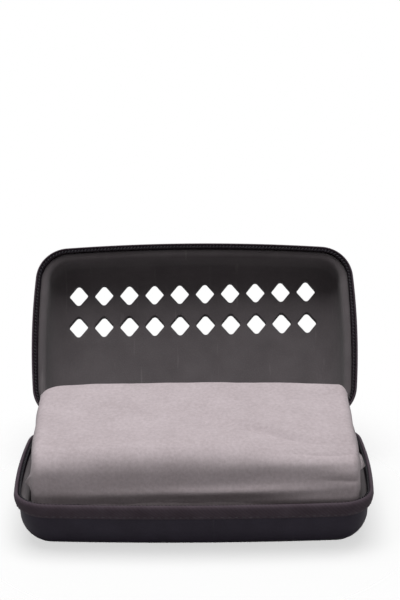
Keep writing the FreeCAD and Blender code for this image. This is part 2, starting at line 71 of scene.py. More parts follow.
def outline(width, depth, corner, side_bow, long_bow):
    """Points and outward normals round a bowed outline, anticlockwise from the right-hand side."""
    side = (depth**2 / 4 + side_bow**2) / (2 * side_bow)
    long = (width**2 / 4 + long_bow**2) / (2 * long_bow)
    across, along = side - width / 2, long - depth / 2
    # The corner's centre lies at a known distance from the centres of both bowed sides
    tilt = across / along
    rise = ((long - corner) ** 2 - (side - corner) ** 2 + across**2 - along**2) / (2 * along)
    lead = across + rise * tilt
    spare = lead**2 + (1 + tilt**2) * ((side - corner) ** 2 - across**2 - rise**2)
    x = (math.sqrt(spare) - lead) / (1 + tilt**2)
    y = rise + tilt * x
    leave, arrive = math.atan2(y, x + across), math.atan2(y + along, x)
    arcs = [
        ((-across, 0), side, -leave, leave, SIDE_STEPS),
        ((x, y), corner, leave, arrive, CORNER_STEPS),
        ((0, -along), long, arrive, math.pi - arrive, LONG_STEPS),
        ((-x, y), corner, math.pi - arrive, math.pi - leave, CORNER_STEPS),
        ((across, 0), side, math.pi - leave, math.pi + leave, SIDE_STEPS),
        ((-x, -y), corner, math.pi + leave, math.pi + arrive, CORNER_STEPS),
        ((0, along), long, math.pi + arrive, math.tau - arrive, LONG_STEPS),
        ((x, -y), corner, math.tau - arrive, math.tau - leave, CORNER_STEPS),
    ]
    points, normals = [], []
    for centre, radius, start, end, steps in arcs:
        for angle in np.linspace(start, end, steps, endpoint=False):
            normal = np.array((math.cos(angle), math.sin(angle)))
            normals.append(normal)
            points.append(np.array(centre) + radius * normal)
    return np.array(points), np.array(normals)


def ring(shape, inset, height):
    """One closed loop of an outline, drawn in by inset, at a height."""
    points, normals = outline(**shape)
    return np.column_stack((points - inset * normals, np.full(len(points), height)))


def skin(bm, rings, closed=True, lined_from=None, layout=None):
    """Grid bent over a run of rings.

    Rows from lined_from on take the second material, and layout gives each point's place in the UV map.
    """
    rings = np.asarray(rings, float)
    if closed:
        rings = np.concatenate((rings, rings[:, :1]), axis=1)
    rows, columns = rings.shape[:2]
    had = len(bm.faces)
    grid = bmesh.ops.create_grid(bm, x_segments=columns - 1, y_segments=rows - 1, size=1)["verts"]
    for vert, spot in zip(grid, rings.reshape(-1, 3)):
        vert.co = spot / 1000
    bm.faces.ensure_lookup_table()
    made = bm.faces[had:]
    if lined_from is not None:
        for face in made[lined_from * (columns - 1) :]:
            face.material_index = 1
    if layout is not None:
        uv = bm.loops.layers.uv.get("mm") or bm.loops.layers.uv.new("mm")
        spots = dict(zip(grid, np.asarray(layout, float).reshape(-1, 2)))
        for face in made:
            for loop in face.loops:
                loop[uv].uv = spots[loop.vert]


def close_piece(bm, name, *materials):
    """Smooth-shaded object from a finished mesh, with its seams merged and its faces turned outwards."""
    bmesh.ops.remove_doubles(bm, verts=bm.verts, dist=SAME_POINT)
    bmesh.ops.recalc_face_normals(bm, faces=bm.faces)
    mesh = bpy.data.meshes.new(name)
    bm.to_mesh(mesh)
    bm.free()
    for material in materials:
        mesh.materials.append(material)
    mesh.shade_smooth()
    piece = bpy.data.objects.new(name, mesh)
    bpy.context.scene.collection.objects.link(piece)
    return piece


def srgb(code):
    """Linear colour from an sRGB hex code."""
    channels = [int(code[i : i + 2], 16) / 255 for i in (0, 2, 4)]
    return [c / 12.92 if c <= 0.04045 else ((c + 0.055) / 1.055) ** 2.4 for c in channels] + [1]


def add(tree, kind, inputs=(), **settings):
    """Adds a shader node. inputs maps socket names or numbers to a value or to another node's output."""
    node = tree.nodes.new(kind)
    for name, value in settings.items():
        setattr(node, name, value)
    for socket, value in dict(inputs).items():
        if isinstance(value, bpy.types.NodeSocket):
            tree.links.new(value, node.inputs[socket])
        else:
            node.inputs[socket].default_value = value
    return node


def new_material(name):
    """New principled material, with its tree and its shader node."""
    material = bpy.data.materials.new(name)
    material.use_nodes = True
    tree = material.node_tree
    return material, tree, tree.nodes["Principled BSDF"]


def knit(name, dark, light, loop_mm, mottle_mm, roughness, gleam, scuff, fuzz):
    """Fine knitted cloth: raised loops, a soft change of shade between patches, and pale rubbed streaks."""
    material, tree, shader = new_material(name)
    place = add(tree, "ShaderNodeTexCoord").outputs["Object"]
    loops = add(tree, "ShaderNodeTexVoronoi", {"Vector": place, "Scale": 1000 / loop_mm})
    mottle = add(tree, "ShaderNodeTexNoise", {"Vector": place, "Scale": 1000 / mottle_mm, "Detail": 4.0})
    mix = add(
        tree, "ShaderNodeMath", {0: loops.outputs["Distance"], 1: 0.35, 2: mottle.outputs["Fac"]},
        operation="MULTIPLY_ADD",
    )
    ramp = add(tree, "ShaderNodeMapRange", {"Value": mix.outputs[0], "From Min": 0.35, "From Max": 0.95})
    shade = add(
        tree, "ShaderNodeMix", {"Factor": ramp.outputs[0], 6: srgb(dark), 7: srgb(light)}, data_type="RGBA"
    )
    # Rubbed streaks are ten times as long as they are wide, and slanted
    streak_mm = (2.5, 25.0, 25.0)
    slant = add(
        tree, "ShaderNodeMapping",
        {"Vector": place, "Rotation": (0.5, 0.4, 0.7), "Scale": [1000 / size for size in streak_mm]},
    )
    streaks = add(tree, "ShaderNodeTexNoise", {"Vector": slant.outputs[0], "Scale": 1.0, "Detail": 2.0})
    rubbed = add(
        tree, "ShaderNodeMapRange",
        {"Value": streaks.outputs["Fac"], "From Min": 0.66, "From Max": 0.8, "To Max": scuff},
    )
    worn = add(
        tree, "ShaderNodeMix", {"Factor": rubbed.outputs[0], 6: shade.outputs[2], 7: srgb("a39c9c")},
        data_type="RGBA",
    )
    bump = add(
        tree, "ShaderNodeBump",
        {"Height": loops.outputs["Distance"], "Strength": 0.6, "Distance": 0.06 / 1000},
    )
    tree.links.new(worn.outputs[2], shader.inputs["Base Color"])
    tree.links.new(bump.outputs[0], shader.inputs["Normal"])
    shader.inputs["Roughness"].default_value = roughness
    shader.inputs["Specular IOR Level"].default_value = gleam
    shader.inputs["Sheen Weight"].default_value = fuzz
    shader.inputs["Sheen Roughness"].default_value = 0.9
    return material


# Warp-knit polyester pressed flat in the mould: close and even, with a dull gleam on the bends
COVER = knit(
    "pressed_dark_knit", "28222e", "342e3b",
    loop_mm=0.55, mottle_mm=9.0, roughness=0.5, gleam=0.25, scuff=0.04, fuzz=0.0,
)
# Brushed polyester knit: matt grey, paler where it is seen aslant, with a few rubbed streaks
LINING = knit(
    "brushed_grey_knit", "453e41", "554e51",
    loop_mm=0.5, mottle_mm=12.0, roughness=0.85, gleam=0.05, scuff=0.2, fuzz=0.17,
)

# Angles of the steps round a moulded edge
quarter = np.radians(np.linspace(0, 90, 10))


def tray_profile(rim):
    """Insets and heights from the floor's edge up the outside, then over the rim and down the inside."""
    outside = [(EDGE_RADIUS * (1 - math.sin(a)), EDGE_RADIUS * (1 - math.cos(a))) for a in quarter]
    over = np.radians(np.linspace(0, 90, 7))
    near = [(RIM_ROUND * (1 - math.cos(a)), rim - RIM_ROUND * (1 - math.sin(a))) for a in over[::2]]
    far = [(WALL - INNER_ROUND * (1 - math.sin(a)), rim - INNER_ROUND * (1 - math.cos(a))) for a in over]
    radius = EDGE_RADIUS - WALL
    inside = [(WALL + radius * (1 - math.sin(a)), WALL + radius * (1 - math.cos(a))) for a in quarter[::-1]]
    # The lining is turned over the rim, and ends under the tape
    return outside + near[:1], near[1:] + far + inside


outside, inside = tray_profile(BASE_RIM)
bm = bmesh.new()
skin(bm, [ring(SHELL, inset, height) for inset, height in outside + inside], lined_from=len(outside))
bmesh.ops.remove_doubles(bm, verts=bm.verts, dist=SAME_POINT)
floors = bmesh.ops.edgeloop_fill(bm, edges=[edge for edge in bm.edges if edge.is_boundary])["faces"]
for face in floors:
    face.material_index = int(face.calc_center_median().z > WALL / 2000)
base_cover = close_piece(bm, "base_cover", COVER, LINING)
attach(base_cover, "base")
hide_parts("base_shell")

# Base zip tape
# A woven polyester band, sewn round the outside of the rim and leaning out to the mouth, where it turns
# over into a smooth lip. A row of lock stitches holds its lower edge, and it stops at the hinge strip.
MOUTH = dict(width=146.0, depth=84.0, corner=15.0, side_bow=2.85, long_bow=3.2)
BASE_MOUTH = 22.0
TAPE_FOOT = 6.6
TAPE_GAP = 0.03
TAPE_THICKNESS = 1.0
HINGE_HALF = 32.0
TAPE_END_GAP = 0.3
TAPE_START = HINGE_HALF + TAPE_END_GAP
# Share of the way from the shell's wall to the mouth, distance out from there, and height above the foot
TAPE_SECTION = [
    (0.0, 0.0, 0.0), (0.0, 0.75, 0.0), (0.0, 1.0, 0.22), (0.2, 1.2, 0.95), (0.5, 1.32, 2.2),
    (0.8, 1.22, 3.5), (0.97, 1.1, 4.3), (1.0, 1.0, 4.75), (1.0, 0.84, 5.22), (1.0, 0.54, 5.62),
    (1.0, 0.15, 5.84), (1.0, -0.25, 5.84), (1.0, -0.5, 5.65), (1.0, -0.6, 5.3), (1.0, -0.5, 4.7),
    (0.9, -0.05, 3.9), (0.5, 0.0, 2.2), (0.1, 0.0, 0.4),
]
# The row of stitches, as a point of that section, and half the length, height and width of one stitch
SEAM = (0.2, 1.22, 0.95)
STITCH = (0.95, 0.14, 0.2)
STITCH_PITCH = 2.8
STITCH_END = 2.0
# How much of the weave's pattern the leaning part of the band takes up
LEAN_PATTERN = 4.0
# Up to the first distance from the end of the zip the lip stands open for the slider, and past the second
# it is turned in. SLIDER_ROLL is how far it still turns in where it stands open.
SLIDER_RUN = (19.0, 25.0)
SLIDER_ROLL = 0.3


def open_ring(gap_from, gap_to, hinge_side):
    """Indices round the mouth that leave out the back between two places along X."""
    points = outline(**MOUTH)[0]
    gap = (points[:, 1] * hinge_side > 0) & (points[:, 0] > gap_from) & (points[:, 0] < gap_to)
    start = next(i for i in range(len(gap)) if gap[i - 1] and not gap[i])
    order = np.roll(np.arange(len(gap)), -start)
    return order[~gap[order]]


def run_of(points):
    """Distance along a line of points, at each of them."""
    return np.concatenate(([0], np.cumsum(np.linalg.norm(np.diff(points, axis=0), axis=1))))


def slider_end(steps):
    """1 along the end of the zip that the slider runs on, and 0 further along."""
    return np.interp(steps[-1] - steps, SLIDER_RUN, (1, 0))


def at(spots, steps, values):
    """Values at given distances along a line."""
    return np.column_stack([np.interp(spots, steps, column) for column in values.T])


def woven(name, dark, light, rib_mm, bump_mm):
    """Woven tape: slanted ribs, rib_mm apart along it, and a fine cross thread. Its UV map is in mm."""
    material, tree, shader = new_material(name)
    place = add(tree, "ShaderNodeUVMap", uv_map="mm").outputs[0]
    # At a scale of 1, the bands of a wave texture lie this far apart along X, and slanted ones twice as far
    band = math.tau / 20
    cross_mm, soil_mm = 0.4, 8
    ribs = add(
        tree, "ShaderNodeTexWave", {"Vector": place, "Scale": 2 * band / rib_mm, "Distortion": 0.3},
        bands_direction="DIAGONAL",
    )
    threads = add(
        tree, "ShaderNodeTexWave", {"Vector": place, "Scale": band / cross_mm}, bands_direction="X"
    )
    both = add(
        tree, "ShaderNodeMath", {0: threads.outputs["Fac"], 1: 0.3, 2: ribs.outputs["Fac"]},
        operation="MULTIPLY_ADD",
    )
    soil = add(tree, "ShaderNodeTexNoise", {"Vector": place, "Scale": 1 / soil_mm, "Detail": 4.0})
    mix = add(
        tree, "ShaderNodeMath", {0: both.outputs[0], 1: 0.18, 2: soil.outputs["Fac"]},
        operation="MULTIPLY_ADD",
    )
    ramp = add(tree, "ShaderNodeMapRange", {"Value": mix.outputs[0], "From Min": 0.35, "From Max": 0.9})
    shade = add(
        tree, "ShaderNodeMix", {"Factor": ramp.outputs[0], 6: srgb(dark), 7: srgb(light)}, data_type="RGBA"
    )
    bump = add(
        tree, "ShaderNodeBump", {"Height": both.outputs[0], "Strength": 0.5, "Distance": bump_mm / 1000}
    )
    tree.links.new(shade.outputs[2], shader.inputs["Base Color"])
    tree.links.new(bump.outputs[0], shader.inputs["Normal"])
    shader.inputs["Roughness"].default_value = 0.65
    shader.inputs["Specular IOR Level"].default_value = 0.1
    return material


# Woven polyester, a shade lighter and browner than the cover. Its slanted ribs are drawn coarser than real
# ones, so that they show.
TAPE_CLOTH = woven("woven_zip_tape", "42383f", "524850", rib_mm=1.8, bump_mm=0.035)
# Bonded polyester thread: tight and slightly shiny
THREAD, tree, shader = new_material("bonded_thread")
place = add(tree, "ShaderNodeTexCoord").outputs["Object"]
twist = add(tree, "ShaderNodeTexNoise", {"Vector": place, "Scale": 1000 / 0.5, "Detail": 2.0})
shade = add(
    tree, "ShaderNodeMix", {"Factor": twist.outputs["Fac"], 6: srgb("2b252c"), 7: srgb("3c343d")},
    data_type="RGBA",
)
tree.links.new(shade.outputs[2], shader.inputs["Base Color"])
shader.inputs["Roughness"].default_value = 0.45


def tape_point(share, out, order):
    """Places along the band at one point of its section, and the way out from them."""
    shell, shell_out = outline(**SHELL)
    mouth, mouth_out = outline(**MOUTH)
    low, high = shell + TAPE_GAP * shell_out, mouth - TAPE_THICKNESS * mouth_out
    facing = shell_out + (mouth_out - shell_out) * share
    return (low + (high - low) * share + out * facing)[order], facing[order]


def tape_band(name, height, order, roll, lay=np.asarray):
    """Closed woven band with its row of stitches.

    roll is how far its lip turns in, at each point along it, and lay puts the band on the case.
    """
    foot = height - TAPE_FOOT
    steps = run_of(outline(**MOUTH)[0][order])
    girth = run_of(np.array([(out + LEAN_PATTERN * share, up) for share, out, up in TAPE_SECTION]))
    rings, layout = [], []
    for (share, out, up), across in zip(TAPE_SECTION, girth):
        place, facing = tape_point(share, out, order)
        if share == 1:
            place = place + ((1 - out) * (1 - roll))[:, None] * facing
        rings.append(lay(np.column_stack((place, np.full(len(place), foot + up)))))
        layout.append(np.column_stack((steps, np.full(len(steps), across))))
    bm = bmesh.new()
    skin(bm, rings + rings[:1], closed=False, layout=layout + layout[:1])
    bmesh.ops.remove_doubles(bm, verts=bm.verts, dist=SAME_POINT)
    bmesh.ops.holes_fill(bm, edges=[edge for edge in bm.edges if edge.is_boundary])
    had = len(bm.faces)
    share, out, up = SEAM
    seam, facing = tape_point(share, out, order)
    seam = np.column_stack((seam, np.full(len(seam), foot + up)))
    spots = np.arange(STITCH_END, steps[-1] - STITCH_END, STITCH_PITCH)
    middle, ahead = lay(at(spots, steps, seam)), lay(at(spots + 0.5, steps, seam))
    away = lay(at(spots, steps, seam + np.column_stack((facing, np.zeros(len(facing))))))
    for spot, front, off in zip(middle, ahead, away):
        x, y = Vector(front - spot).normalized(), Vector(off - spot).normalized()
        turn = Matrix((x, y, x.cross(y))).transposed().to_4x4()
        size = Matrix.Diagonal((*(half / 1000 for half in STITCH), 1))
        bmesh.ops.create_uvsphere(
            bm, u_segments=6, v_segments=4, radius=1, matrix=Matrix.Translation(spot / 1000) @ turn @ size
        )
    bm.faces.ensure_lookup_table()
    for face in bm.faces[had:]:
        face.material_index = 1
    return close_piece(bm, name, TAPE_CLOTH, THREAD)


base_round = open_ring(-TAPE_START, TAPE_START, 1)
base_run = slider_end(run_of(outline(**MOUTH)[0][base_round]))
base_tape = tape_band("base_tape", BASE_MOUTH, base_round, 1 - (1 - SLIDER_ROLL) * base_run)
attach(base_tape, "base")
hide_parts("base_zip_tape")

# Base zip coil
# One nylon monofilament wound in flat turns, 1.5 mm from turn to turn, and sewn to the inside of the tape
# behind its lip. Where the slider runs, it lies further out.
COIL_PITCH = 1.5
COIL_DEPTH = 1.4
COIL_INSET = 2.2
SLIDER_INSET = 1.1
COIL_HEIGHT = 1.25
COIL_DROP = 1.6
COIL_END = 1.0
WIRE = 0.28
TURN_STEPS, WIRE_SIDES = 10, 6

# Drawn nylon: smooth, slightly clouded, with a soft highlight along each turn
COIL_NYLON, tree, shader = new_material("black_nylon_filament")
place = add(tree, "ShaderNodeTexCoord").outputs["Object"]
cloud = add(tree, "ShaderNodeTexNoise", {"Vector": place, "Scale": 1000 / 3.0, "Detail": 2.0})
shade = add(
    tree, "ShaderNodeMix", {"Factor": cloud.outputs["Fac"], 6: srgb("19171c"), 7: srgb("29262c")},
    data_type="RGBA",
)
gloss = add(tree, "ShaderNodeMapRange", {"Value": cloud.outputs["Fac"], "To Min": 0.42, "To Max": 0.58})
tree.links.new(shade.outputs[2], shader.inputs["Base Color"])
tree.links.new(gloss.outputs[0], shader.inputs["Roughness"])
shader.inputs["Specular IOR Level"].default_value = 0.25


def coil(name, height, order, inset, lay=np.asarray):
    """The filament, as a thin tube along its turns. inset is how far in from the mouth they lie."""
    mouth, normals = outline(**MOUTH)
    line = mouth[order] - inset[:, None] * normals[order]
    steps = run_of(line)
    turns = int((steps[-1] - 2 * COIL_END) / COIL_PITCH)
    phase = np.linspace(0, turns * math.tau, turns * TURN_STEPS + 1)
    spots = COIL_END + phase / math.tau * COIL_PITCH
    out = (COIL_DEPTH / 2 - WIRE) * np.cos(phase)
    up = (COIL_HEIGHT / 2 - WIRE) * np.sin(phase)
    place = at(spots, steps, line) + out[:, None] * at(spots, steps, normals[order])
    centres = np.column_stack((place, height - COIL_DROP + up))
    ahead = np.gradient(centres, axis=0)
    side = np.cross(ahead, (0.0, 0.0, 1.0))
    side /= np.linalg.norm(side, axis=1)[:, None]
    rise = np.cross(side, ahead)
    rise /= np.linalg.norm(rise, axis=1)[:, None]
    angles = np.arange(WIRE_SIDES) * math.tau / WIRE_SIDES
    bm = bmesh.new()
    skin(bm, [
        lay(centre + WIRE * (np.outer(np.cos(angles), s) + np.outer(np.sin(angles), r)))
        for centre, s, r in zip(centres, side, rise)
    ])
    bmesh.ops.remove_doubles(bm, verts=bm.verts, dist=SAME_POINT)
    bmesh.ops.holes_fill(bm, edges=[edge for edge in bm.edges if edge.is_boundary])
    return close_piece(bm, name, COIL_NYLON)


base_coil = coil("base_coil", BASE_MOUTH, base_round, COIL_INSET + (SLIDER_INSET - COIL_INSET) * base_run)
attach(base_coil, "base")
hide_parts("base_zip_coil")

# Lid shell
# The deeper half, pressed like the base, with two rows of ten rounded diamonds punched through its crown.
# It is drawn rim up like the base, and then laid open on the hinge line.
LID_RIM = 24.0
LID_MOUTH = 27.8
HINGE = Vector((0, MOUTH["depth"] / 2, BASE_MOUTH))
OPEN_ANGLE = 126.0
VENT_COUNT = 10
VENT_PITCH = 11.77
VENT_HALF = (4.3, 4.85)
VENT_CORNER = 1.5
VENT_ROWS = (10.05, 25.35)
VENT_SHIFT = -0.85
VENT_TILT = math.radians(0.82)
# Round on the edges of a vent, and how far the middle of that round lies from both faces that it joins
VENT_ROUND, VENT_BEND = 0.4, 0.12
CROWN_INSET = 5.0
CROWN_RINGS = (6.0, 7.0, 8.0, 9.0, 10.2, 11.4, 12.6)
CROWN_STEP = 6.0
CROWN_HALF = (54.0, 24.0)
# Loose points of the crown keep this far from the middle of a vent, and this many times as far along Y
VENT_CLEAR, VENT_STRETCH = 6.0, 1.12


def on_lid(points):
    """Points of the rim-up lid, laid open on the hinge line."""
    angle = math.radians(180 - OPEN_ANGLE)
    x, y, z = (np.asarray(points) - (0, -HINGE.y, LID_MOUTH)).T
    turned = (x, y * math.cos(angle) - z * math.sin(angle), y * math.sin(angle) + z * math.cos(angle))
    return np.column_stack(turned) + np.array(HINGE)


def vent(x, y, grow):
    """Rounded diamond round a place on the crown, grown all round, and turned with its row."""
    half_x, half_y = (half - VENT_CORNER for half in VENT_HALF)
    slope = math.atan2(half_x, half_y)
    radius = VENT_CORNER + grow
    points = []
    for step, (mid_x, mid_y) in enumerate(((half_x, 0), (0, half_y), (-half_x, 0), (0, -half_y))):
        reach = slope if step % 2 == 0 else math.pi / 2 - slope
        for angle in np.linspace(-reach, reach, 6) + step * math.pi / 2:
            points.append((x + mid_x + radius * math.cos(angle), y + mid_y + radius * math.sin(angle)))
    c, s = math.cos(VENT_TILT), math.sin(VENT_TILT)
    return np.array(points) @ np.array(((c, s), (-s, c)))


def crown_height(points, depth):
    """Height over the crown of the moulded skin that lies depth inside the outer one."""
    edge, normals = outline(**SHELL)
    near = np.linalg.norm(points[:, None] - edge[None], axis=2).argmin(axis=1)
    inset = np.einsum("ij,ij->i", edge[near] - points, normals[near])
    radius = EDGE_RADIUS - depth
    return depth + radius - np.sqrt(radius**2 - np.clip(EDGE_RADIUS - inset, 0, radius) ** 2)


def in_loop(spots, loop):
    """Whether places lie in a convex anticlockwise loop."""
    ahead = np.roll(loop, -1, axis=0) - loop
    away = spots[:, None] - loop[None]
    return np.all(ahead[None, :, 0] * away[..., 1] - ahead[None, :, 1] * away[..., 0] > 0, axis=1)


vents = [
    (VENT_SHIFT + VENT_PITCH * (column - (VENT_COUNT - 1) / 2), row)
    for row in VENT_ROWS
    for column in range(VENT_COUNT)
]
# The crown is laid out flat between its border and the vents, and then raised over the moulded round
border = ring(SHELL, CROWN_INSET, 0)[:, :2]
holes = [vent(x, y, VENT_ROUND) for x, y in vents]
columns, rows = (np.arange(-half, half + 1, CROWN_STEP) for half in CROWN_HALF)
loose = [ring(SHELL, inset, 0)[::2, :2] for inset in CROWN_RINGS]
loose.append(np.array([(x, y) for x in columns for y in rows]))
loose = np.concatenate(loose)
middles = np.array([hole.mean(axis=0) for hole in holes])
apart = np.linalg.norm((loose[:, None] - middles[None]) / (1.0, VENT_STRETCH), axis=2).min(axis=1)
kept_edges, first = [], 0
for loop in [border, *holes]:
    kept_edges += [(first + i, first + (i + 1) % len(loop)) for i in range(len(loop))]
    first += len(loop)
flat = [Vector(spot) for spot in np.concatenate([border, *holes, loose[apart > VENT_CLEAR]])]
flat, _, triangles, *_ = delaunay_2d_cdt(flat, kept_edges, [], 0, 1e-5)
flat = np.array([tuple(spot) for spot in flat])
centres = flat[np.array(triangles)].mean(axis=1)
punched = np.any([in_loop(centres, hole) for hole in holes], axis=0)

bm = bmesh.new()
for depth, mark in ((0.0, 0), (WALL, 1)):
    raised = on_lid(np.column_stack((flat, crown_height(flat, depth)))) / 1000
    verts = [bm.verts.new(spot) for spot in raised]
    for triangle, gone in zip(triangles, punched):
        if not gone:
            bm.faces.new([verts[i] for i in triangle]).material_index = mark
outside, inside = tray_profile(LID_RIM)
outer_edge, inner_edge = ((CROWN_INSET, crown_height(border[:1], depth)[0]) for depth in (0.0, WALL))
outside = [outer_edge] + [point for point in outside if point[0] < CROWN_INSET]
inside = [point for point in inside if point[0] < CROWN_INSET] + [inner_edge]
skin(bm, [on_lid(ring(SHELL, *point)) for point in outside + inside], lined_from=len(outside))
for x, y in vents:
    levels = []
    for grow, depth, up in (
        (VENT_ROUND, 0, 0), (VENT_BEND, 0, VENT_BEND), (0, 0, VENT_ROUND),
        (0, WALL, -VENT_ROUND), (VENT_BEND, WALL, -VENT_BEND), (VENT_ROUND, WALL, 0),
    ):
        loop = vent(x, y, grow)
        levels.append(on_lid(np.column_stack((loop, crown_height(loop, depth) + up))))
    skin(bm, levels, lined_from=0)
lid_cover = close_piece(bm, "lid_cover", COVER, LINING)
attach(lid_cover, "lid")
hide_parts("lid_shell")

# Lid zip tape and coil
# The same woven band and nylon coil, sewn round the lid. The lip turns in less than on the base, and both
# stop short of the slider, where the limp tape bends into it.
SLIDER_STOP = 50.0
LID_ROLL = 0.5
LID_COIL = 1.65
lid_round = open_ring(-TAPE_START, SLIDER_STOP, -1)
lid_tape = tape_band("lid_tape", LID_MOUTH, lid_round, np.full(len(lid_round), LID_ROLL), on_lid)
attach(lid_tape, "lid")
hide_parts("lid_zip_tape")
lid_coil = coil("lid_coil", LID_MOUTH, lid_round, np.full(len(lid_round), LID_COIL), on_lid)
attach(lid_coil, "lid")
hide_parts("lid_zip_coil")

# Hinge strip
# One piece of woven tape across the back, sewn to the outside of both halves. It is the only hinge of the
# case, and folds along the parting line.
STRIP_RISE = 6.3
STRIP_GAP = 0.1
STRIP_THICKNESS = 0.9
FOLD_RISE = 0.12
# Share of the way from the shell's back to the mouth, and distance out from there
STRIP_SECTION = ((0.0, 0.9), (0.25, 1.0), (0.5, 1.0), (0.75, 1.0), (0.9, 1.0), (1.0, 0.92))
# Twill tape: ribs coarser and deeper than the zip's
STRIP_CLOTH = woven("twill_hinge_strip", "332c35", "453c47", rib_mm=2.4, bump_mm=0.1)
# One place per mm along the strip
places = np.linspace(-HINGE_HALF, HINGE_HALF, 65)


def back_line(shape):
    """Where the back of an outline lies along the strip."""
    points = outline(**shape)[0]
    rear = points[points[:, 1] > 0]
    rear = rear[np.argsort(rear[:, 0])]
    return np.interp(places, rear[:, 0], rear[:, 1])


shell_back, mouth_back = back_line(SHELL) + STRIP_GAP, back_line(MOUTH) - TAPE_THICKNESS
leaf = []
for share, out in STRIP_SECTION:
    back = shell_back + (mouth_back - shell_back) * share + out
    height = BASE_MOUTH - TAPE_FOOT + STRIP_RISE * share
    leaf.append(np.column_stack((places, back, np.full(len(places), height))))
fold_height = np.full(len(places), BASE_MOUTH + FOLD_RISE)
fold_line = np.column_stack((places, mouth_back + TAPE_THICKNESS, fold_height))
# The other leaf is the same one, turned over onto the lid
other = []
for line in leaf[::-1]:
    x, y, z = line.T
    other.append(on_lid(np.column_stack((x, -y, z - BASE_MOUTH + LID_MOUTH))))
rings = leaf + [fold_line] + other
girth = run_of(np.array([line[0] for line in rings]))
bm = bmesh.new()
skin(bm, rings, closed=False, layout=[np.column_stack((places, np.full(len(places), up))) for up in girth])
hinge = close_piece(bm, "hinge_strip", STRIP_CLOTH)
cloth = hinge.modifiers.new("thickness", "SOLIDIFY")
cloth.thickness, cloth.offset = STRIP_THICKNESS / 1000, -1
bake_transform(hinge)
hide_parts("base_hinge_strip", "lid_hinge_strip")

# Zip slider and pull
# Die-cast zinc, dipped in black enamel. The slider straddles the coil, and the pull hangs on its bar.
# Both are shown by their solids, with softened edges.
EDGE_SOFTENING = 0.12
# Enamel over zinc: a dull shine, with bare metal where the edges rub
ENAMEL, tree, shader = new_material("black_enamelled_zinc")
place = add(tree, "ShaderNodeTexCoord").outputs["Object"]
edge = add(tree, "ShaderNodeNewGeometry").outputs["Pointiness"]
grain = add(tree, "ShaderNodeTexNoise", {"Vector": place, "Scale": 1000 / 1.1, "Detail": 5.0})
worn = add(tree, "ShaderNodeMath", {0: grain.outputs["Fac"], 1: 0.12, 2: edge}, operation="MULTIPLY_ADD")
mask = add(tree, "ShaderNodeMapRange", {"Value": worn.outputs[0], "From Min": 0.6, "From Max": 0.66})
shade = add(
    tree, "ShaderNodeMix", {"Factor": mask.outputs[0], 6: srgb("19181b"), 7: srgb("8d8a8a")},
    data_type="RGBA",
)
bump = add(
    tree, "ShaderNodeBump", {"Height": grain.outputs["Fac"], "Strength": 0.2, "Distance": 0.03 / 1000}
)
tree.links.new(shade.outputs[2], shader.inputs["Base Color"])
tree.links.new(mask.outputs[0], shader.inputs["Metallic"])
tree.links.new(bump.outputs[0], shader.inputs["Normal"])
shader.inputs["Roughness"].default_value = 0.35
for name in ("zip_slider", "pull_tab"):
    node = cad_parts[name]
    node.data.materials.clear()
    node.data.materials.append(ENAMEL)
    softened = node.modifiers.new("soft_edges", "BEVEL")
    softened.width, softened.segments, softened.limit_method = EDGE_SOFTENING / 1000, 2, "ANGLE"

# Folded towel
# A suede microfibre towel of about 500 x 1000 mm, folded in four lengthwise and then over and over into a
# block, with its outer turn round the rest. It is pressed into the base by hand, so that its front and its
# ends are creased.
TOWEL_HALF = 64.0
TOWEL_FRONT, TOWEL_REAR, TOWEL_FOOT = -34.2, 34.4, 3.9
FRONT_TOP, REAR_TOP = 40.8, 45.7
FRONT_FOLD, REAR_FOLD, FOOT_FOLD = 9.5, 6.5, 8.0
END_ROUND = 3.4
SAG = 1.3
CLOTH_THICKNESS = 0.5
AROUND = 210
# Slope of the top from front to back, in degrees
TOP_SLOPE = 4
# How far the right and the left end lie over, each at the back and at the front, and where that change
# starts and how far forward it runs
RIGHT_SHIFT, LEFT_SHIFT = (1.2, 1.7), (-1.4, 0.0)
SHIFT_FROM, SHIFT_RUN = 12, 44
# The towel is held in at the corners, round these centres. By height, it has this radius to itself there:
# in the shell, then in the mouth, then above it. SIDE_ROOM is its room along X, also by height.
CORNER_X, CORNER_Y = 56.2, 24.8
CORNER_ROOM = ((17.0, 19.5, 21.5, 26.0), (9.4, 12.2, 12.6, 17.0))
SIDE_ROOM = ((17.0, 20.0), (66.0, 70.0))

# Split-fibre suede: no weave to see, only a short nap that lies in lighter and darker patches. The nap is
# drawn coarser than it is, so that it shows.
SUEDE, tree, shader = new_material("suede_microfibre")
place = add(tree, "ShaderNodeTexCoord").outputs["Object"]
nap = add(
    tree, "ShaderNodeTexNoise", {"Vector": place, "Scale": 1000 / 1.4, "Detail": 6.0, "Roughness": 0.7}
)
patches = add(tree, "ShaderNodeTexNoise", {"Vector": place, "Scale": 1000 / 14, "Detail": 3.0})
mix = add(
    tree, "ShaderNodeMath", {0: patches.outputs["Fac"], 1: 0.4, 2: nap.outputs["Fac"]},
    operation="MULTIPLY_ADD",
)
ramp = add(tree, "ShaderNodeMapRange", {"Value": mix.outputs[0], "From Min": 0.45, "From Max": 0.95})
shade = add(
    tree, "ShaderNodeMix", {"Factor": ramp.outputs[0], 6: srgb("b1a5a8"), 7: srgb("cbbfc3")},
    data_type="RGBA",
)
bump = add(tree, "ShaderNodeBump", {"Height": nap.outputs["Fac"], "Strength": 0.4, "Distance": 0.15 / 1000})
tree.links.new(shade.outputs[2], shader.inputs["Base Color"])
tree.links.new(bump.outputs[0], shader.inputs["Normal"])
shader.inputs["Roughness"].default_value = 0.95
shader.inputs["Specular IOR Level"].default_value = 0.1
shader.inputs["Sheen Weight"].default_value = 0.12
shader.inputs["Sheen Roughness"].default_value = 0.5


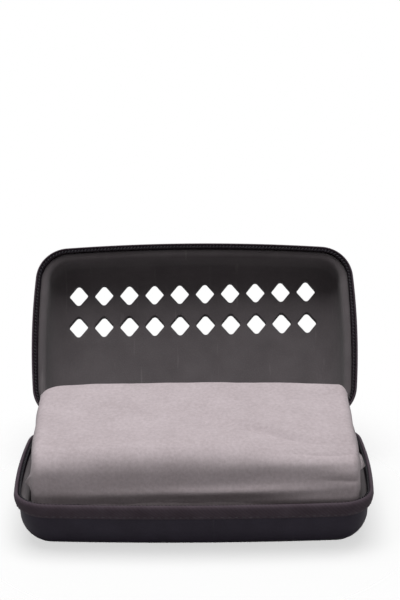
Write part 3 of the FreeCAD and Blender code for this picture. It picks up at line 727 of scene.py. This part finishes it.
def fold_section(shrink, sink, count):
    """Points in the YZ plane round the folded towel: from under its front, up, over and down the back."""
    front, rear = TOWEL_FRONT + shrink, TOWEL_REAR - shrink
    foot, front_top, rear_top = TOWEL_FOOT + shrink, FRONT_TOP - shrink - sink, REAR_TOP - shrink - sink
    bends = [
        (front + FOOT_FOLD, foot + FOOT_FOLD, FOOT_FOLD, 270, 180),
        (front + FRONT_FOLD, front_top - FRONT_FOLD, FRONT_FOLD, 180, 90 + TOP_SLOPE),
        (rear - REAR_FOLD, rear_top - REAR_FOLD, REAR_FOLD, 90 + TOP_SLOPE, 0),
        (rear - FOOT_FOLD, foot + FOOT_FOLD, FOOT_FOLD, 0, -90),
    ]
    line = [(0.0, foot)]
    for y, z, radius, start, end in bends:
        for angle in np.radians(np.linspace(start, end, 14)):
            line.append((y + radius * math.cos(angle), z + radius * math.sin(angle)))
    line = np.array(line + line[:1])
    steps = run_of(line)
    return at(np.linspace(0, steps[-1], count), steps, line)


def bump_of(value, middle, width):
    """Smooth bump, 1 in the middle and almost 0 at twice its width."""
    return np.exp(-(((value - middle) / width) ** 2))


def settle(points):
    """Moves the ends over as the towel lies, and holds it in at the corners of the shell and the mouth."""
    x, y, z = np.moveaxis(points, -1, 0)
    ahead = np.clip((SHIFT_FROM - y) / SHIFT_RUN, 0, 1)
    right, left = (back + (front - back) * ahead for back, front in (RIGHT_SHIFT, LEFT_SHIFT))
    x = x + np.clip(np.abs(x) / TOWEL_HALF, 0, 1) ** 4 * np.where(x > 0, right, left)
    room = np.interp(z, *CORNER_ROOM)
    over_x, over_y = np.maximum(np.abs(x) - CORNER_X, 0), np.maximum(np.abs(y) - CORNER_Y, 0)
    gap = np.hypot(over_x, over_y) + 1e-9
    keep = np.where((over_x > 0) & (over_y > 0), np.minimum(room / gap, 1), 1)
    x = np.where(over_x > 0, np.sign(x) * (CORNER_X + over_x * keep), x)
    y = np.where(over_y > 0, np.sign(y) * (CORNER_Y + over_y * keep), y)
    side_room = np.interp(z, *SIDE_ROOM)
    return np.stack((np.clip(x, -side_room, side_room), y, z), axis=-1)


ease = np.sin(np.linspace(0, math.pi / 2, 9))
stations = np.concatenate((
    -TOWEL_HALF + END_ROUND * (1 - ease[:0:-1]),
    np.linspace(-TOWEL_HALF + END_ROUND, TOWEL_HALF - END_ROUND, 116),
    TOWEL_HALF - END_ROUND * (1 - ease[1:]),
))


def end_turn(x):
    """How far the cloth has turned in over the end at a place along the towel."""
    over = np.clip((abs(x) - (TOWEL_HALF - END_ROUND)) / END_ROUND, 0, 1)
    return END_ROUND * (1 - math.sqrt(1 - over**2))


wrap = []
for x in stations:
    section = fold_section(end_turn(x), SAG * (x / TOWEL_HALF) ** 2, AROUND)
    wrap.append(np.column_stack((np.full(AROUND, x), section)))
wrap = np.array(wrap)
x, y, z = np.moveaxis(wrap, -1, 0)
run = np.gradient(wrap, axis=1)
outward = np.stack((np.zeros_like(x), -run[..., 2], run[..., 1]), axis=2)
outward /= np.linalg.norm(outward, axis=2)[..., None] + 1e-9
# Folds and dents: height, place along the towel and up its front or across its top, reach both ways, slope
FRONT_FOLDS = [
    (1.45, 16, 24.0, 27, 1.8, 0.02), (0.3, 52, 24.6, 14, 2.2, 0.01), (0.3, -24, 23.2, 24, 1.8, 0.02),
    (-0.9, 38, 30.5, 24, 5.0, 0.03), (-0.95, 61, 28.6, 9, 0.5, 0.02), (0.5, 61, 31.4, 7, 2.0, 0.05),
    (0.4, 62, 26.6, 7, 1.5, -0.03), (0.4, -40, 22.0, 34, 3.0, 0.0), (-1.0, 10, 16.4, 80, 2.2, 0.0),
    (-0.5, -10, 31.0, 50, 5.5, 0.0), (0.5, -58, 33.0, 8, 4.0, 0.3), (-1.0, 0, 17.0, 200, 9.0, 0.0),
    (1.2, 50, 20.2, 22, 2.6, 0.0),
]
TOP_FOLDS = [
    (-1.3, 5, -3, 3.0, 8, -0.9), (-1.0, 13, -9, 3.0, 7, -0.9), (-1.3, 32, -17, 16, 3.2, -0.55),
    (-2.0, 50, -28, 23, 8, 0.0), (0.8, 30, -9, 18, 5, -0.4), (-0.5, -30, 6, 22, 9, 0.1),
    (0.5, -48, 20, 12, 8, 0.4), (-1.5, -63, 31, 4, 7, 0.0), (-0.8, 8, 8, 12, 4, 0.3),
    (0.6, 0, -14, 9, 4, -0.5),
]
# Ripples of the loose cloth: how long they are, and how high
RIPPLES = ((16, 0.35), (5, 0.08))
# The folds of the front fade out behind it, and those of the top fade out below it
on_front, on_top = bump_of(y, -37, 11), np.clip((z - 35) / 4, 0, 1)
push = np.zeros_like(x)
for height, mid, level, reach, width, slope in FRONT_FOLDS:
    push += height * on_front * bump_of(x, mid, reach) * bump_of(z - slope * (x - mid), level, width)
for height, mid, depth, reach, width, slope in TOP_FOLDS:
    push += height * on_top * bump_of(x, mid, reach) * bump_of(y - slope * (x - mid), depth, width)
ripple = [
    sum(noise.noise(Vector(spot) / length) * high for length, high in RIPPLES)
    for spot in wrap.reshape(-1, 3)
]
# They die away where the towel lies against the base
push += np.reshape(ripple, push.shape) * np.clip((z - 12) / 8, 0, 1)
wrap = settle(wrap + push[..., None] * outward)

# Inner turns, which show only at the two ends. They close on a flat core, and their edges don't lie even.
PLY_TURNS = 29
PER_TURN = 48
PLY_STATIONS = np.array([-64.0, -62.5, -60, -55, -30, 0, 30, 55, 60, 62.5, 64.0])
PLY_INSET = 0.8
PLY_END_TURN = 0.4
CORE_HALF, CORE_HEIGHT = 17, 22.5
UNEVEN_FROM = 60
# Corners of plies that have slipped out: end, turn, height of the tip, spread above it, and how far out
SLIPPED = [(1, 2.2, 33.5, 3.6, 5.0), (-1, 2.2, 26.0, 7.5, 4.6), (-1, 4.3, 25.0, 4.0, 3.2)]
# Their width in turns, their spread below the tip, the place along Y behind which there are none, and how
# far they curl and droop
SLIP_TURNS, SLIP_BELOW, SLIP_REAR = 0.75, 2.0, -15
SLIP_CURL, SLIP_DROOP = 2.4, 1.2
turns = np.arange(PLY_TURNS * PER_TURN + 1) / PER_TURN
ply = np.arange(len(turns)) % PER_TURN
plies = []
for station in PLY_STATIONS:
    inset = end_turn(station) * PLY_END_TURN + PLY_INSET
    outer = fold_section(inset, SAG * (station / TOWEL_HALF) ** 2, PER_TURN + 1)
    core = np.column_stack((np.clip(outer[:, 0], -CORE_HALF, CORE_HALF), np.full(len(outer), CORE_HEIGHT)))
    # The first turn lies just under the outer one, and the last just short of the core
    depth = np.clip((turns + 0.3) / (PLY_TURNS + 1.2), 0, 0.985)
    place = outer[ply] + (core[ply] - outer[ply]) * depth[:, None]
    side = math.copysign(1, station)
    at_end = max(0.0, (abs(station) - UNEVEN_FROM) / (TOWEL_HALF - UNEVEN_FROM))
    # The edges of the plies lie up to 0.6 mm out and 2.2 mm in
    reach = station + side * at_end * (0.9 * np.sin(turns * 2.3) + 0.5 * np.sin(ply * 0.4 + turns) - 0.8)
    for slip_side, turn_mid, tip, spread, out in SLIPPED:
        above = place[:, 1] - tip
        point = np.clip(1 - np.where(above > 0, above / spread, -above / SLIP_BELOW), 0, 1)
        at_front = (place[:, 0] < SLIP_REAR) & (slip_side == side)
        slip = bump_of(turns, turn_mid, SLIP_TURNS) * point * at_front * at_end
        reach = reach + side * out * slip
        place = place + np.column_stack((SLIP_CURL * slip * (1 + np.sin(above * 1.4)), -SLIP_DROOP * slip))
    plies.append(np.column_stack((reach, place)))
plies = settle(np.array(plies))
bm = bmesh.new()
skin(bm, wrap, closed=False)
skin(bm, plies, closed=False)
towel = close_piece(bm, "towel", SUEDE)
cloth = towel.modifiers.new("thickness", "SOLIDIFY")
cloth.thickness, cloth.offset = CLOTH_THICKNESS / 1000, -1
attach(towel, "base")
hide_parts("folded_towel")
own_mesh(towel)

# Floor, light and camera
# A table top covered in white paper, under one broad soft panel overhead and a weaker one in front. The
# paper fades out to white beyond the shadow. Sizes and places are in metres.
FLOOR_HALF, FLOOR_DROP = 3, 0.0002
FADE_FROM, FADE_TO = 0.05, 0.16
FADED_AT_CASE = 0.62
bm = bmesh.new()
bmesh.ops.create_grid(bm, x_segments=1, y_segments=1, size=FLOOR_HALF)
floor = close_piece(bm, "floor")
floor.location.z = -FLOOR_DROP
# Matt white paper: no gleam, and only the shadow to see
PAPER, tree, shader = new_material("white_paper")
place = add(tree, "ShaderNodeTexCoord").outputs["Object"]
away = add(tree, "ShaderNodeVectorMath", {0: place}, operation="LENGTH").outputs["Value"]
path = add(tree, "ShaderNodeLightPath").outputs
faded = add(
    tree, "ShaderNodeMapRange",
    {"Value": away, "From Min": FADE_FROM, "From Max": FADE_TO, "To Min": FADED_AT_CASE},
    interpolation_type="SMOOTHERSTEP",
)
straight = add(
    tree, "ShaderNodeMath", {0: faded.outputs[0], 1: path["Is Camera Ray"]}, operation="MULTIPLY"
)
# The paper is white to the camera and light grey to all other rays, so that it throws up less light
tone = add(
    tree, "ShaderNodeMix", {"Factor": path["Is Camera Ray"], 6: srgb("bababa"), 7: srgb("fdfdfd")},
    data_type="RGBA",
)
tree.links.new(tone.outputs[2], shader.inputs["Base Color"])
shader.inputs["Roughness"].default_value = 0.9
shader.inputs["Specular IOR Level"].default_value = 0.0
unseen = add(tree, "ShaderNodeBsdfTransparent")
blend = add(
    tree, "ShaderNodeMixShader", {0: straight.outputs[0], 1: shader.outputs[0], 2: unseen.outputs[0]}
)
tree.links.new(blend.outputs[0], tree.nodes["Material Output"].inputs["Surface"])
floor.data.materials.append(PAPER)

# The room is plain white to the camera and in reflections, and gives only a little light of its own
world = bpy.data.worlds.new("white_room")
bpy.context.scene.world = world
world.use_nodes = True
tree = world.node_tree
path = add(tree, "ShaderNodeLightPath").outputs
through = add(
    tree, "ShaderNodeMath", {0: path["Is Glossy Ray"], 1: path["Is Transmission Ray"]}, operation="MAXIMUM"
)
seen = add(tree, "ShaderNodeMath", {0: path["Is Camera Ray"], 1: through.outputs[0]}, operation="MAXIMUM")
dim = add(tree, "ShaderNodeBackground", {"Color": srgb("ffffff"), "Strength": 0.05})
white = add(tree, "ShaderNodeBackground", {"Color": srgb("ffffff"), "Strength": 1.0})
mixed = add(tree, "ShaderNodeMixShader", {0: seen.outputs[0], 1: dim.outputs[0], 2: white.outputs[0]})
tree.links.new(mixed.outputs[0], tree.nodes["World Output"].inputs["Surface"])

# Name, place, aim, width and power in watts of the two panels
for name, spot, aim, size, power in (
    ("sky_panel", (-0.05, 0.04, 0.95), (0, 0.02, 0.04), 0.75, 8.9),
    ("front_panel", (0.15, -0.7, 0.85), (0, 0.0, 0.04), 0.9, 1.85),
):
    light = bpy.data.lights.new(name, "AREA")
    light.size, light.energy = size, power
    lamp = bpy.data.objects.new(name, light)
    lamp.location = spot
    lamp.rotation_euler = (Vector(aim) - Vector(spot)).to_track_quat("-Z", "Y").to_euler()
    bpy.context.scene.collection.objects.link(lamp)

# The camera looks down at the case from the front, a little from one side and a little askew
LOOK_DOWN, LOOK_ASIDE, LOOK_ASKEW = (math.radians(angle) for angle in (18.29, 0.39, -0.51))
DISTANCE, AIM_HEIGHT, SHIFT = 0.6455, 0.09241, 0.00305
lens = bpy.data.cameras.new("camera")
lens.lens, lens.sensor_width = 96.6, 36.0
lens.clip_start, lens.clip_end = 0.01, 20
camera = bpy.data.objects.new("camera", lens)
back, up = DISTANCE * math.cos(LOOK_DOWN), DISTANCE * math.sin(LOOK_DOWN)
camera.matrix_world = (
    Matrix.Rotation(LOOK_ASIDE, 4, "Z")
    @ Matrix.Translation((SHIFT, -back, AIM_HEIGHT + up))
    @ Matrix.Rotation(math.pi / 2 - LOOK_DOWN, 4, "X")
    @ Matrix.Rotation(LOOK_ASKEW, 4, "Z")
)
bpy.context.scene.collection.objects.link(camera)
bpy.context.scene.camera = camera
bpy.context.scene.view_settings.view_transform = "Standard"
